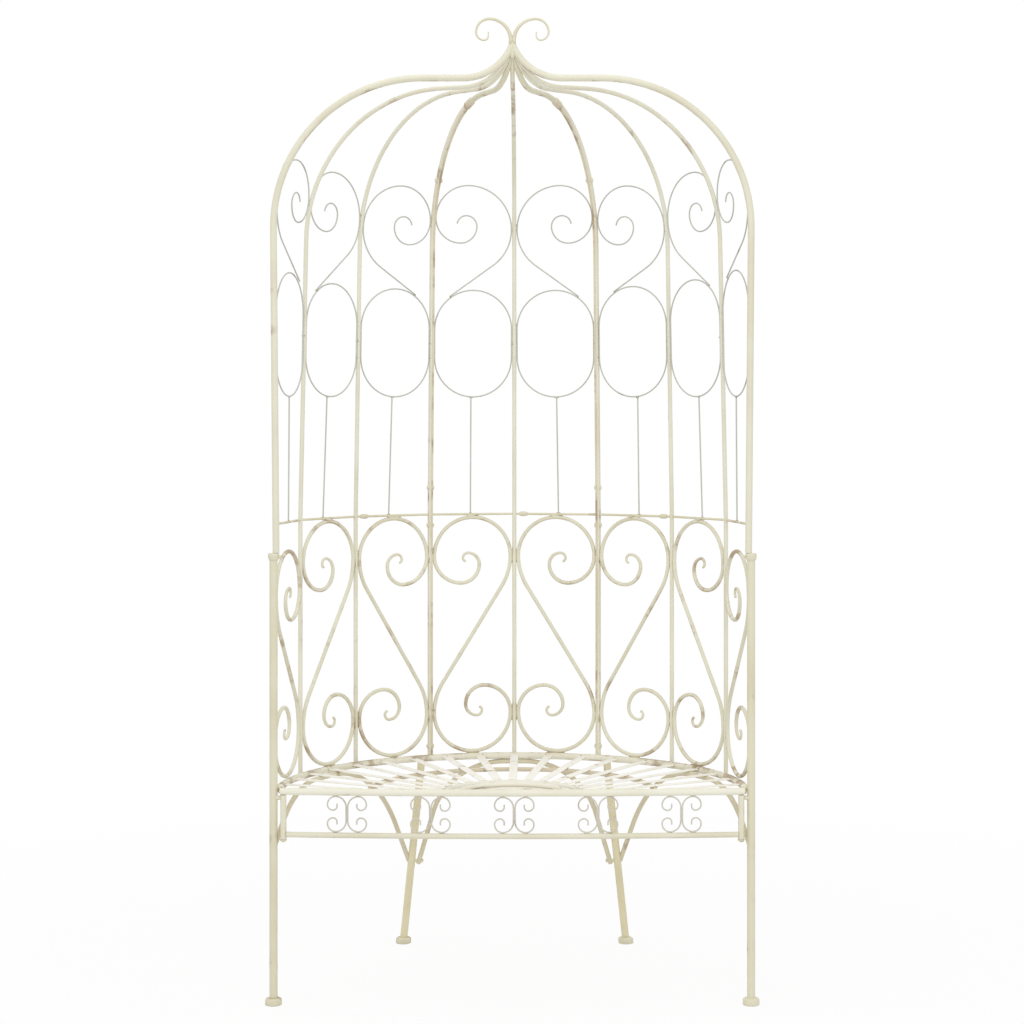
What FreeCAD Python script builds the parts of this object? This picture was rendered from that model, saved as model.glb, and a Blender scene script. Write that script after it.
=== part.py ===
import FreeCAD, Part
import math
import os
from FreeCAD import Vector

# Half-round garden bench with a domed cage back, in bent iron rod and tube.
# Sizes are in millimetres, +Z is up and the bench faces -Y.
# The plan is a half circle: rib 0 is the left front post, the last rib the right one.

# Overall sizes: the rail above the seat ring, the crown above the rail, and the posts' tops below the rail
cage_radius = 471.0
bay_count = 8
seat_ring_height = 427.0
rail_rise = 521.0
crown_rise = 946.0
post_drop = 60.0

# Clearances: weld_gap between welded pieces, bolt_play on the radius of a bolt hole
# Ribs and arches are drawn past the middle axis by axis_overrun and then trimmed to their wedges
weld_gap = 0.2
bolt_play = 0.1
axis_overrun = 1.0

# Tube and rod diameters
post_diameter = 16.0
post_wall = 1.5
arch_diameter = 13.5
arch_wall = 1.2
rib_diameter = 9.0
rail_diameter = 5.0
scroll_diameter = 8.0
wire_diameter = 3.0
apron_wire_diameter = 3.0
brace_diameter = 10.0
seat_tube_diameter = 14.0
seat_tube_wall = 1.5
seat_rod_diameter = 9.0
apron_rail_diameter = 11.0
upright_diameter = 12.0
curl_diameter = 6.0

# Front posts, collars and foot caps
collar_wall = 2.9
collar_height = 14.0
collar_floor = 3.0
cap_flange = 3.0
cap_height = 15.0
cap_rim_height = 11.5
cap_wall = 5.4
cap_floor = 3.0

# Front arches: their feet stand in from the post axes, and they lean out to the spring of the dome
arch_foot_inset = 5.0
arch_lean = 5.0
arch_dome_drop = 66.0
arch_dome_bend = 294.0

# Ribs: upright up to the rail, then leaning in to the spring of the dome
# The tops of the domes lie below the crown, and the leans are measured at lean_rise above the rail
rib_lean = -13.0
rib_dome_drop = 79.0
rib_dome_bend = 300.0
rib_rail_bend = 600.0
lean_rise = 552.0
crown_bend = 105.0
crown_slope = 66.0

# Joint ribs: two flat bars face to face, a short block, then one round arm up to the crown
joint_ribs = (3, 5)
joint_bar_thickness = 4.4
joint_bar_depth = 9.0
crown_arm_diameter = 11.5
crown_arm_start = 225.0
joint_block_diameter = 12.5
joint_block_length = 23.0
seat_bolt_rise = 24.0
rail_bolt_drop = 23.0
rail_bolt_rise = 58.0
dome_bolt_drop = 154.0
joint_bolt_diameter = 5.0
joint_bolt_head_diameter = 9.0
joint_bolt_head_height = 2.5

# Back rail ferrules: bay, and the end of the bay that each one sits near
ferrule_places = ((2, -1), (4, -1), (5, 1))
ferrule_length = 17.0
ferrule_diameter = 10.0
ferrule_end_diameter = 7.0
ferrule_belt = 7.0
ferrule_offset = 20.0

# Lower S-scrolls: bends after the big loop, from the loop inwards, as radius and turn
# The scrolls beside the posts end lower than the others
lower_shoulder_bend = 123.0
front_scroll_drop = 52.5
lower_curl = ((58.0, 90.0), (40.0, 90.0), (24.5, 90.0), (11.0, 90.0), (7.0, 70.0))

# Ovals and the upper scrolls that rest on them: heights above the rail, bay by bay from left to right
oval_foot_rise = 251.0
oval_top_rises = (502.0, 488.0, 483.0, 483.0, 483.0, 488.0, 496.0, 507.0)
upper_contact_rises = (634.0, 622.0, 606.0, 612.0, 612.0, 606.0, 622.0, 634.0)
upper_loop_bend = 94.0
upper_curl = ((53.0, 90.0), (36.0, 90.0), (23.0, 90.0), (20.0, 80.0))

# Stay wires: how far the head and the foot of each one stand off the middle of its bay, from left to right
stay_heads = (0.0, -12.0, -6.5, -4.5, 2.5, 11.0, 9.0, 0.0)
stay_feet = (0.0, -18.0, -11.5, -4.5, 5.2, 11.0, 13.0, 0.0)

# Crown curls
curl_neck = 8.0
curl_bends = ((42.5, 90.0), (26.0, 90.0), (16.0, 90.0), (8.3, 90.0))
curl_tip = 7.0

# Seat: the slats fan out from a point in front of the bench, and lie below the top of the seat ring
slat_count = 19
slat_width = 17.0
slat_thickness = 2.0
slat_focus = 140.0
slat_drop = 4.0
mid_ring_radius = 282.0
inner_ring_radius = 133.0
inner_arc_radius = 105.0
centre_plate_thickness = 2.0
front_bar_drop = 5.0

# Apron: a shallow bow in plan, between two uprights beside the posts
apron_setback = 6.0
apron_bow = 22.0
apron_depth = 85.0
upright_offset = 20.0
upright_tail = 9.0
upright_cap_diameter = 14.5
upright_cap_height = 6.0
apron_scroll_places = (-325.0, -160.5, 4.0, 168.5, 333.0)
apron_scroll_bends = ((21.0, 90.0), (16.0, 90.0), (11.0, 90.0), (8.0, 90.0))
apron_scroll_tip = 4.0
lug_diameter = 8.0
lug_drop = 4.0

# Rear legs and brace arches: the leg heads stand a few degrees outside the joint ribs
leg_head_inset = 3.0
leg_head_turn = 2.5
rear_foot_x = 245.0
rear_foot_y = 564.0
brace_leg_height = 193.0
brace_post_height = 307.0
brace_post_reach = 85.0
brace_post_bend = 160.0
brace_leg_aside = 7.0
brace_leg_reach = 156.0
brace_leg_bend = 325.0
rear_brace_gap = 3.5
rear_brace_tail = 7.0
rear_brace_shoulder = 143.0
rear_brace_bend = 160.0
brace_bolt_diameter = 6.0
brace_nut_diameter = 10.0
brace_nut_height = 4.5
collar_bolt_diameter = 5.0
collar_bolt_head_diameter = 8.0
collar_bolt_head_height = 3.5

# Values that follow from the sizes above
bay_angle = 180.0 / bay_count
up = Vector(0, 0, 1)
rail_height = seat_ring_height + rail_rise
post_height = rail_height - post_drop
crown_height = rail_height + crown_rise
lean_height = rail_height + lean_rise
arch_dome_top = crown_height - arch_dome_drop
rib_dome_top = crown_height - rib_dome_drop
joint_bar_reach = joint_bar_thickness + weld_gap / 2
socket_diameter = post_diameter + 2 * bolt_play
collar_diameter = socket_diameter + 2 * collar_wall
cap_top_diameter = socket_diameter + 2 * cap_wall
cap_diameter = cap_top_diameter + 2 * cap_flange
seat_ring_radius = cage_radius - (rib_diameter + seat_tube_diameter) / 2 - weld_gap
slat_bottom = seat_ring_height + seat_tube_diameter / 2 - slat_drop - slat_thickness
slat_outer_radius = seat_ring_radius - seat_tube_diameter / 2 - weld_gap
inner_ring_height = slat_bottom - weld_gap - seat_rod_diameter / 2
front_bar_height = seat_ring_height - front_bar_drop
apron_rail_height = front_bar_height - apron_depth
upright_top = front_bar_height - seat_tube_diameter / 2 - weld_gap
upright_foot = apron_rail_height - upright_tail
upright_x = cage_radius - upright_offset
front_bar_half_width = upright_x + upright_diameter / 2
apron_rail_half_width = upright_x - upright_diameter / 2 - weld_gap
apron_y = -apron_setback
reach = 3 * cage_radius
parts = {}


def rib_angle(rib):
    """Plan angle of a rib, in radians from +X, from the left front post to the right one."""
    return math.radians(180.0 - bay_angle * rib)


def on_plan(angle, radius, height):
    return Vector(radius * math.cos(angle), radius * math.sin(angle), height)


def lean_radius(foot_radius, lean, foot_height, height):
    """Distance from the middle axis to the straight stretch of a rib or an arch."""
    share = (height - foot_height) / (lean_height - foot_height)
    return foot_radius + lean * share


def dome_radius(foot_radius, lean, foot_height, dome_top, dome_bend, height):
    """Distance from the middle axis to a rib or an arch, on its straight stretch or on the dome's bend."""
    slope = math.atan(lean / (lean_height - foot_height))
    bend_height = dome_top - dome_bend
    if height <= bend_height - dome_bend * math.sin(slope):
        return lean_radius(foot_radius, lean, foot_height, height)
    bend_radius = lean_radius(foot_radius, lean, foot_height, bend_height) - dome_bend / math.cos(slope)
    return bend_radius + math.sqrt(dome_bend ** 2 - (height - bend_height) ** 2)


def rib_radius(height):
    if height <= rail_height:
        return cage_radius
    return dome_radius(cage_radius, rib_lean, rail_height, rib_dome_top, rib_dome_bend, height)


def arch_radius(height):
    foot_radius = cage_radius - arch_foot_inset
    return dome_radius(foot_radius, arch_lean, post_height, arch_dome_top, arch_dome_bend, height)


def slant_room(diameter):
    """Extra room for the end of a round bar that meets the face of a joint rib at a slant."""
    return diameter / 2 * math.tan(math.radians(bay_angle / 2))


def rounded_path(points, bends):
    """Straight runs through the points, with each inner corner rounded by its own bend radius."""
    edges = []
    start = points[0]
    for before, corner, after, bend in zip(points, points[1:], points[2:], bends):
        back = (before - corner).normalize()
        ahead = (after - corner).normalize()
        half = back.getAngle(ahead) / 2
        first = corner + back * (bend / math.tan(half))
        last = corner + ahead * (bend / math.tan(half))
        inward = (back + ahead).normalize()
        middle = corner + inward * (bend / math.sin(half) - bend)
        edges.append(Part.LineSegment(start, first).toShape())
        edges.append(Part.Arc(first, middle, last).toShape())
        start = last
    edges.append(Part.LineSegment(start, points[-1]).toShape())
    return Part.Wire(edges)


class Plane:
    """A flat frame for scrollwork: origin, a sideways direction and an upward one."""

    def __init__(self, origin, side, rise):
        self.origin = origin
        self.side = side
        self.rise = rise

    def at(self, across, above):
        return self.origin + self.side * across + self.rise * above


def bent_edges(plane, start, heading, moves):
    """Edges of a rod bent in a plane: each move is a bend radius and a left turn, or a length and 0."""
    edges = []
    x, y = start
    course = math.radians(heading)
    for size, turn in moves:
        if turn == 0:
            end = (x + size * math.cos(course), y + size * math.sin(course))
            edges.append(Part.LineSegment(plane.at(x, y), plane.at(*end)).toShape())
        else:
            cx = x - size * math.sin(course)
            cy = y + size * math.cos(course)
            half = course + math.radians(turn) / 2
            course += math.radians(turn)
            middle = (cx + size * math.sin(half), cy - size * math.cos(half))
            end = (cx + size * math.sin(course), cy - size * math.cos(course))
            edges.append(Part.Arc(plane.at(x, y), plane.at(*middle), plane.at(*end)).toShape())
        x, y = end
    return edges


def in_order(edges):
    return Part.Wire(Part.sortEdges(edges)[0])


def rod(path, diameter):
    """A round rod along a path."""
    edge = path.OrderedEdges[0]
    start = path.OrderedVertexes[0].Point
    ends = (edge.FirstParameter, edge.LastParameter)
    first = min(ends, key=lambda value: edge.valueAt(value).distanceToPoint(start))
    section = Part.Face(Part.Wire(Part.makeCircle(diameter / 2, start, edge.tangentAt(first))))
    return path.makePipe(section)


def tube(path, diameter, wall):
    return rod(path, diameter).cut(rod(path, diameter - 2 * wall))


def pin(start, end, diameter):
    """A straight round bar between two points."""
    along = end - start
    return Part.makeCylinder(diameter / 2, along.Length, start, along)


def dome_edge(middle, along, across, diameter, height):
    """Half outline of a low dome that stands on a point, from its rim to its top."""
    ball = (diameter ** 2 / 4 + height ** 2) / (2 * height)
    half = math.asin(diameter / 2 / ball) / 2
    rim = middle + across * (diameter / 2)
    crest = middle + along * height
    between = middle + along * (ball * math.cos(half) - ball + height) + across * (ball * math.sin(half))
    return Part.Arc(rim, between, crest).toShape()


def turned(edges, start, end):
    """A solid turned about the line from start to end, from the open outline on one side of it."""
    outline = edges + [Part.LineSegment(end, start).toShape()]
    return Part.Face(Part.Wire(outline)).revolve(start, end - start, 360)


def bolt(start, seat, diameter, head_diameter, head_height):
    """A bolt with its plain end at start and a domed head beyond seat."""
    along = (seat - start).normalize()
    across = along.cross(up).normalize()
    side = across * (diameter / 2)
    rim = seat + across * (head_diameter / 2)
    shank = Part.makePolygon([start, start + side, seat + side, rim]).Edges
    head = dome_edge(seat, along, across, head_diameter, head_height)
    return turned(shank + [head], start, seat + along * head_height)


def through_bolt(first, second, diameter, head_diameter, head_height):
    """A bolt between two faces, with a domed head on one and a domed nut on the other."""
    middle = (first + second) / 2
    half = bolt(middle, second, diameter, head_diameter, head_height)
    other = bolt(middle, first, diameter, head_diameter, head_height)
    return half.fuse(other).removeSplitter()


def dome(base, along, diameter, height):
    """A plain low dome standing on a point, its axis upright."""
    across = Vector(1, 0, 0)
    rim = Part.LineSegment(base, base + across * (diameter / 2)).toShape()
    return turned([rim, dome_edge(base, along, across, diameter, height)], base, base + along * height)


def box_beyond(origin, along, height):
    """A tall box that starts at a vertical plane through a point and runs away along a direction."""
    across = Vector(-along.y, along.x, 0)
    corners = [
        origin + across * reach,
        origin + across * reach + along * reach,
        origin - across * reach + along * reach,
        origin - across * reach,
    ]
    face = Part.Face(Part.makePolygon(corners + corners[:1]))
    return face.extrude(up * height)


def layer(low, high):
    """All the space between two heights."""
    return Part.makeBox(2 * reach, 2 * reach, high - low, Vector(-reach, -reach, low))


def sector(low_angle, high_angle):
    """The tall wedge of space that a rib may fill up to the crown, clear of its neighbours."""
    half = (high_angle - low_angle) / 2
    middle = (high_angle + low_angle) / 2
    tip = on_plan(middle, weld_gap / 2 / math.sin(half), 0)
    corners = [
        tip,
        tip + on_plan(low_angle, reach, 0),
        tip + on_plan(middle, 2 * reach, 0),
        tip + on_plan(high_angle, reach, 0),
    ]
    return Part.Face(Part.makePolygon(corners + [tip])).extrude(up * crown_height)


def rib_sector(rib):
    """The wedge of one rib: half a bay each way, and for a front arch the whole front quarter."""
    half_bay = math.radians(bay_angle / 2)
    low = rib_angle(rib) - half_bay
    high = rib_angle(rib) + half_bay
    if rib == 0:
        high = math.radians(270.0)
    if rib == bay_count:
        low = math.radians(-90.0)
    return sector(low, high)


def dome_path(angle, foot_points, dome_top, dome_bend, foot_bends):
    """Path of a rib or an arch: its foot points, the dome's shoulder, then the rise into the crown."""
    lower, upper = foot_points[-2:]
    slope = (upper[0] - lower[0]) / (upper[1] - lower[1])
    shoulder = upper[0] + slope * (dome_top - upper[1])
    rise = (crown_height - dome_top) / math.tan(math.radians(crown_slope))
    over = (rise, dome_top)
    tip = (-axis_overrun, crown_height + axis_overrun * math.tan(math.radians(crown_slope)))
    profile = foot_points[:-1] + [(shoulder, dome_top), over, tip]
    points = [on_plan(angle, radius, height) for radius, height in profile]
    return rounded_path(points, foot_bends + [dome_bend, crown_bend])


def rib_path(rib):
    foot = seat_ring_height - seat_tube_diameter / 2
    top_radius = cage_radius + rib_lean
    foot_points = [(cage_radius, foot), (cage_radius, rail_height), (top_radius, lean_height)]
    return dome_path(rib_angle(rib), foot_points, rib_dome_top, rib_dome_bend, [rib_rail_bend])


def bay_side(rib, height):
    """Axis point and half thickness of the upright that bounds a bay at a height."""
    angle = rib_angle(rib)
    if 0 < rib < bay_count:
        half = joint_bar_reach if rib in joint_ribs else rib_diameter / 2
        return on_plan(angle, rib_radius(height), height), half
    if height < post_height:
        return on_plan(angle, cage_radius, height), post_diameter / 2
    return on_plan(angle, arch_radius(height), height), arch_diameter / 2


def bay_plane(bay, height, rise_height, extra=0.0):
    """Plane across a bay at a height, tilted to follow the ribs up to rise_height, and its clear half width.

    extra is the room kept at a joint rib, whose faces slant across the bay.
    """
    left, left_half = bay_side(bay, height)
    right, right_half = bay_side(bay + 1, height)
    left_half += extra if bay in joint_ribs else 0.0
    right_half += extra if bay + 1 in joint_ribs else 0.0
    side = (right - left).normalize()
    middle = (left + side * left_half + right - side * right_half) / 2
    width = (right - left).Length - left_half - right_half
    high_left = bay_side(bay, rise_height)[0]
    high_right = bay_side(bay + 1, rise_height)[0]
    rise = (high_left + high_right - left - right) / 2
    rise = (rise - side * rise.dot(side)).normalize()
    return Plane(middle, side, rise), width / 2 - weld_gap


def mirrored(plane, bay):
    """The same plane, turned over left to right in every other bay."""
    return Plane(plane.origin, plane.side * (-1) ** (bay + 1), plane.rise)


def panel_bays():
    """Bays of the left, back and right panels, which meet at the joint ribs."""
    first, second = joint_ribs
    return {
        "left": range(0, first),
        "back": range(first, second),
        "right": range(second, bay_count),
    }


def side_names():
    return {"left": -1, "right": 1}


def front_posts():
    """Tube posts: each stands in its foot cap and ends inside its collar."""
    for name, sign in side_names().items():
        foot = Vector(sign * cage_radius, 0, cap_floor + weld_gap)
        head = Vector(sign * cage_radius, 0, post_height)
        post = tube(Part.Wire(Part.LineSegment(foot, head).toShape()), post_diameter, post_wall)
        parts["front_post_" + name] = post.cut(collar_bolt_hole(sign))


def collar_bolt_place(sign):
    """Where the head of a collar bolt sits, on the inner side of its collar."""
    height = post_height + collar_floor - collar_height / 2
    return Vector(sign * (cage_radius - collar_diameter / 2), 0, height)


def collar_bolt_hole(sign):
    middle = Vector(sign * cage_radius, 0, collar_bolt_place(sign).z)
    return pin(collar_bolt_place(sign), middle, collar_bolt_diameter + 2 * bolt_play)


def post_collars():
    """Cap-like collars on the posts, which carry the feet of the arches, and their bolts."""
    collars = []
    bolts = []
    for sign in side_names().values():
        top = Vector(sign * cage_radius, 0, post_height + collar_floor)
        collar = pin(top - up * collar_height, top, collar_diameter)
        socket_top = top - up * (collar_floor - weld_gap)
        collar = collar.cut(pin(top - up * collar_height, socket_top, socket_diameter))
        collars.append(collar.cut(collar_bolt_hole(sign)))
        seat = collar_bolt_place(sign) - Vector(sign * bolt_play, 0, 0)
        tip = Vector(sign * (cage_radius - post_diameter / 2 + 2 * post_wall), 0, seat.z)
        bolts.append(bolt(tip, seat, collar_bolt_diameter,
                          collar_bolt_head_diameter, collar_bolt_head_height))
    parts["post_collars"] = Part.makeCompound(collars)
    parts["collar_bolts"] = Part.makeCompound(bolts)


def front_arches():
    """Tube arches from the collars to the crown, solid where they are pinched over the dome's top."""
    for name, sign in side_names().items():
        rib = 0 if sign < 0 else bay_count
        foot = post_height + collar_floor + weld_gap
        foot_points = [(arch_radius(foot), foot), (arch_radius(lean_height), lean_height)]
        path = dome_path(rib_angle(rib), foot_points, arch_dome_top, arch_dome_bend, [])
        hollow = Part.Wire(path.OrderedEdges[:2])
        arch = rod(path, arch_diameter).cut(rod(hollow, arch_diameter - 2 * arch_wall))
        parts["front_arch_" + name] = arch.common(rib_sector(rib))


def leg_axis(sign, height):
    """Point on the axis of a splayed rear leg."""
    angle = rib_angle(joint_ribs[0] if sign < 0 else joint_ribs[1]) - sign * math.radians(leg_head_turn)
    head = on_plan(angle, cage_radius - leg_head_inset, seat_ring_height)
    foot = Vector(sign * rear_foot_x, rear_foot_y, 0)
    return head + (foot - head) * ((seat_ring_height - height) / seat_ring_height)


def brace_bolt_points(sign):
    """Axis points of the bolt that ties the rear brace to a leg: in the leg, and past the brace."""
    leg = leg_axis(sign, brace_leg_height)
    inward = Vector(-sign, 0, 0)
    past = (post_diameter + 2 * brace_diameter) / 2 + rear_brace_gap
    return leg, leg + inward * past


def rear_legs():
    """Splayed tube legs, cut level under the seat ring and standing in their caps."""
    for name, sign in side_names().items():
        line = Part.LineSegment(leg_axis(sign, seat_ring_height), leg_axis(sign, -cap_height))
        leg = tube(Part.Wire(line.toShape()), post_diameter, post_wall)
        start, end = brace_bolt_points(sign)
        hole = pin(start, end, brace_bolt_diameter + 2 * bolt_play)
        top = seat_ring_height - seat_tube_diameter / 2 - weld_gap
        parts["rear_leg_" + name] = leg.common(layer(cap_floor + weld_gap, top)).cut(hole)


def foot_cap(foot, leg_path):
    """A round foot with a rim, its socket along the leg."""
    rim = cap_diameter / 2
    top = cap_top_diameter / 2
    profile = [(0, 0), (rim, 0), (rim, cap_rim_height), (top, cap_height), (0, cap_height)]
    corners = [foot + Vector(radius, 0, height) for radius, height in profile]
    cap = Part.Face(Part.makePolygon(corners + corners[:1])).revolve(foot, up, 360)
    socket = rod(leg_path, socket_diameter)
    return cap.cut(socket.common(layer(cap_floor, 2 * cap_height)))


def foot_caps():
    front = []
    rear = []
    for sign in side_names().values():
        foot = Vector(sign * cage_radius, 0, 0)
        path = Part.Wire(Part.LineSegment(foot, foot + up * (2 * cap_height)).toShape())
        front.append(foot_cap(foot, path))
        line = Part.LineSegment(leg_axis(sign, -cap_height), leg_axis(sign, 2 * cap_height))
        rear.append(foot_cap(leg_axis(sign, 0), Part.Wire(line.toShape())))
    parts["foot_caps_front"] = Part.makeCompound(front)
    parts["foot_caps_rear"] = Part.makeCompound(rear)


def half_ring_path(radius, height, centre_y, end_y):
    """Half circle in plan about a centre on the middle line, with straight ends that run forward to end_y."""
    left = Vector(-radius, centre_y, height)
    right = Vector(radius, centre_y, height)
    edges = [Part.Arc(left, Vector(0, centre_y + radius, height), right).toShape()]
    if end_y < centre_y:
        edges.insert(0, Part.LineSegment(Vector(-radius, end_y, height), left).toShape())
        edges.append(Part.LineSegment(right, Vector(radius, end_y, height)).toShape())
    return Part.Wire(edges)


def seat_ring_path():
    return half_ring_path(seat_ring_radius, seat_ring_height, 0, 0)


def bow_radius():
    return (upright_x ** 2 + apron_bow ** 2) / (2 * apron_bow)


def bow_y(x):
    """How far forward the bowed apron stands at a distance from the middle."""
    return apron_y - apron_bow + bow_radius() - math.sqrt(bow_radius() ** 2 - x ** 2)


def bow_path(height, half_width):
    """Arc in plan along the apron, as far to each side as half_width."""
    ends = [Vector(x, bow_y(x), height) for x in (-half_width, 0, half_width)]
    return Part.Wire(Part.Arc(*ends).toShape())


def front_bar_path():
    return bow_path(front_bar_height, front_bar_half_width)


def upright_room(sign):
    """The space of an apron upright, with the weld gap round it."""
    foot = Vector(sign * upright_x, apron_y, upright_foot - weld_gap)
    return pin(foot, foot + up * (upright_top - upright_foot + 2 * weld_gap), upright_diameter + 2 * weld_gap)


def post_room(sign):
    foot = Vector(sign * cage_radius, 0, 0)
    return pin(foot, foot + up * post_height, post_diameter + 2 * weld_gap)


def seat_frame():
    """Outer half ring, front bar, mid ring, two small inner rings and the plate under them."""
    ring = tube(seat_ring_path(), seat_tube_diameter, seat_tube_wall)
    for sign in side_names().values():
        ring = ring.cut(post_room(sign))
    behind_bar = bow_y(front_bar_half_width) + seat_tube_diameter / 2 + weld_gap
    ring = ring.common(box_beyond(Vector(0, behind_bar, 0), Vector(0, 1, 0), crown_height))
    parts["seat_outer_ring"] = max(ring.Solids, key=lambda solid: solid.Volume)
    parts["seat_front_bar"] = tube(front_bar_path(), seat_tube_diameter, seat_tube_wall)
    bar_room = rod(front_bar_path(), seat_tube_diameter + 2 * weld_gap)
    mid_path = half_ring_path(mid_ring_radius, inner_ring_height, 0, bow_y(mid_ring_radius))
    paths = {"seat_mid_ring": mid_path}
    for node, radius in (("seat_inner_ring", inner_ring_radius), ("seat_inner_arc", inner_arc_radius)):
        paths[node] = half_ring_path(radius, inner_ring_height, bow_y(radius), bow_y(radius))
    for node, path in paths.items():
        half_ring = rod(path, seat_rod_diameter).cut(bar_room)
        parts[node] = max(half_ring.Solids, key=lambda solid: solid.Volume)
    plate_top = inner_ring_height - seat_rod_diameter / 2 - weld_gap
    corner = Vector(0, bow_y(inner_arc_radius), plate_top - centre_plate_thickness)
    plate = Part.makeCylinder(inner_arc_radius, centre_plate_thickness, corner, up, 180)
    parts["seat_centre_plate"] = plate.cut(bar_room)


def slat_field():
    """Flat space for the slats: inside the seat ring, behind the front bar and outside the inner ring."""
    middle = Vector(0, 0, slat_bottom)
    field = Part.makeCylinder(slat_outer_radius, slat_thickness, middle)
    bow_middle = middle + Vector(0, bow_y(0) + bow_radius(), 0)
    bar_room = seat_tube_diameter / 2 + weld_gap
    behind_bar = math.sqrt(max(bar_room ** 2 - (slat_bottom - front_bar_height) ** 2, 0))
    field = field.common(Part.makeCylinder(bow_radius() - behind_bar, slat_thickness, bow_middle))
    hole_middle = middle + Vector(0, bow_y(inner_ring_radius), 0)
    return field.cut(Part.makeCylinder(inner_ring_radius, slat_thickness, hole_middle))


def seat_slats():
    """Flat bars that fan out from the inner ring and the front bar to the inner side of the outer ring."""
    slats = []
    field = slat_field()
    focus = Vector(0, -slat_focus, slat_bottom)
    for slat in range(slat_count):
        end = on_plan(math.radians((slat + 0.5) * 180.0 / slat_count), slat_outer_radius, slat_bottom)
        along = end - focus
        corner = Vector(0, -slat_width / 2, 0)
        bar = Part.makeBox(along.Length + slat_width, slat_width, slat_thickness, corner)
        bar.rotate(Vector(0, 0, 0), up, math.degrees(math.atan2(along.y, along.x)))
        bar.translate(focus)
        slats.append(max(bar.common(field).Solids, key=lambda solid: solid.Volume))
    parts["seat_slats"] = Part.makeCompound(slats)


def apron_frame():
    """Lower rail, the two uprights with their end caps, and the lugs that tie them to the posts."""
    parts["apron_lower_rail"] = rod(bow_path(apron_rail_height, apron_rail_half_width), apron_rail_diameter)
    uprights = []
    caps = []
    lugs = []
    for sign in side_names().values():
        foot = Vector(sign * upright_x, apron_y, upright_foot)
        uprights.append(pin(foot, foot + up * (upright_top - upright_foot), upright_diameter))
        caps.append(dome(foot - up * weld_gap, -up, upright_cap_diameter, upright_cap_height))
        start = Vector(sign * upright_x, apron_y / 2, seat_ring_height - lug_drop - seat_tube_diameter)
        lug = pin(start, Vector(sign * cage_radius, start.y, start.z), lug_diameter)
        lug = lug.cut(upright_room(sign)).cut(post_room(sign))
        lugs.append(max(lug.Solids, key=lambda solid: solid.Volume))
    parts["apron_uprights"] = Part.makeCompound(uprights)
    parts["upright_end_caps"] = Part.makeCompound(caps)
    parts["apron_lugs"] = Part.makeCompound(lugs)


def apron_scrolls():
    """Pairs of C-scrolls, back to back, held between the front bar and the lower rail."""
    low = apron_rail_height + apron_rail_diameter / 2 + weld_gap
    high = front_bar_height - seat_tube_diameter / 2 - weld_gap
    half_height = (high - low - apron_wire_diameter) / 2
    spine = half_height - apron_scroll_bends[0][0]
    moves = [(spine, 0)] + list(apron_scroll_bends) + [(apron_scroll_tip, 0)]
    scrolls = []
    for x in apron_scroll_places:
        slope = math.asin(x / bow_radius())
        side = Vector(math.cos(slope), math.sin(slope), 0)
        middle = Vector(x, bow_y(x), (low + high) / 2)
        for hand in (-1, 1):
            back = (-(apron_wire_diameter + weld_gap) / 2, 0)
            upper = bent_edges(Plane(middle, side * -hand, up), back, 90.0, moves)
            lower = bent_edges(Plane(middle, side * -hand, -up), back, 90.0, moves)
            scrolls.append(rod(in_order(upper + lower), apron_wire_diameter))
    parts["apron_scrolls"] = Part.makeCompound(scrolls)


def brace_arches():
    """Rod arches under the seat: one each side from post to leg, and one between the rear legs."""
    crest = slat_bottom - weld_gap - brace_diameter / 2
    for name, sign in side_names().items():
        leg = leg_axis(sign, brace_leg_height)
        post = Vector(sign * cage_radius, 0, brace_post_height)
        aside = Vector(sign * (leg.y - post.y), -sign * (leg.x - post.x), 0).normalize()
        leg += aside * brace_leg_aside
        along = Vector(leg.x - post.x, leg.y - post.y, 0)
        length = along.Length
        along.normalize()
        points = [
            post,
            Vector(post.x, post.y, crest) + along * brace_post_reach,
            Vector(post.x, post.y, crest) + along * (length - brace_leg_reach),
            leg,
        ]
        arch = rod(rounded_path(points, [brace_post_bend, brace_leg_bend]), brace_diameter)
        leg_line = Part.LineSegment(leg_axis(sign, seat_ring_height), leg_axis(sign, 0))
        leg_room = rod(Part.Wire(leg_line.toShape()), post_diameter + 2 * weld_gap)
        arch = arch.cut(post_room(sign)).cut(leg_room)
        parts["brace_arch_" + name] = max(arch.Solids, key=lambda solid: solid.Volume)

    crest = seat_ring_height - (seat_tube_diameter + brace_diameter) / 2 - weld_gap
    corners = []
    bolts = []
    holes = []
    for sign in side_names().values():
        start, end = brace_bolt_points(sign)
        inward = (end - start).normalize()
        middle = end - inward * (brace_diameter / 2)
        shoulder = Vector(sign * rear_brace_shoulder, seat_ring_radius, crest)
        tail = middle + (middle - shoulder).normalize() * rear_brace_tail
        corners += [tail, shoulder] if sign < 0 else [shoulder, tail]
        seat = end + inward * bolt_play
        bolts.append(bolt(start, seat, brace_bolt_diameter, brace_nut_diameter, brace_nut_height))
        holes.append(pin(start, seat, brace_bolt_diameter + 2 * bolt_play))
        holes.append(pin(end, end + inward * brace_diameter, brace_nut_diameter + 2 * bolt_play))
    arch = rod(rounded_path(corners, [rear_brace_bend, rear_brace_bend]), brace_diameter)
    for hole in holes:
        arch = arch.cut(hole)
    parts["brace_arch_rear"] = arch
    parts["brace_bolts"] = Part.makeCompound(bolts)


def round_ribs():
    """Plain round ribs, welded to the outer side of the seat ring and meeting at the crown."""
    names = {1: "rib_left_front", 2: "rib_left_rear", 4: "rib_back",
             6: "rib_right_rear", 7: "rib_right_front"}
    for rib, name in names.items():
        parts[name] = rod(rib_path(rib), rib_diameter).common(rib_sector(rib))


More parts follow.
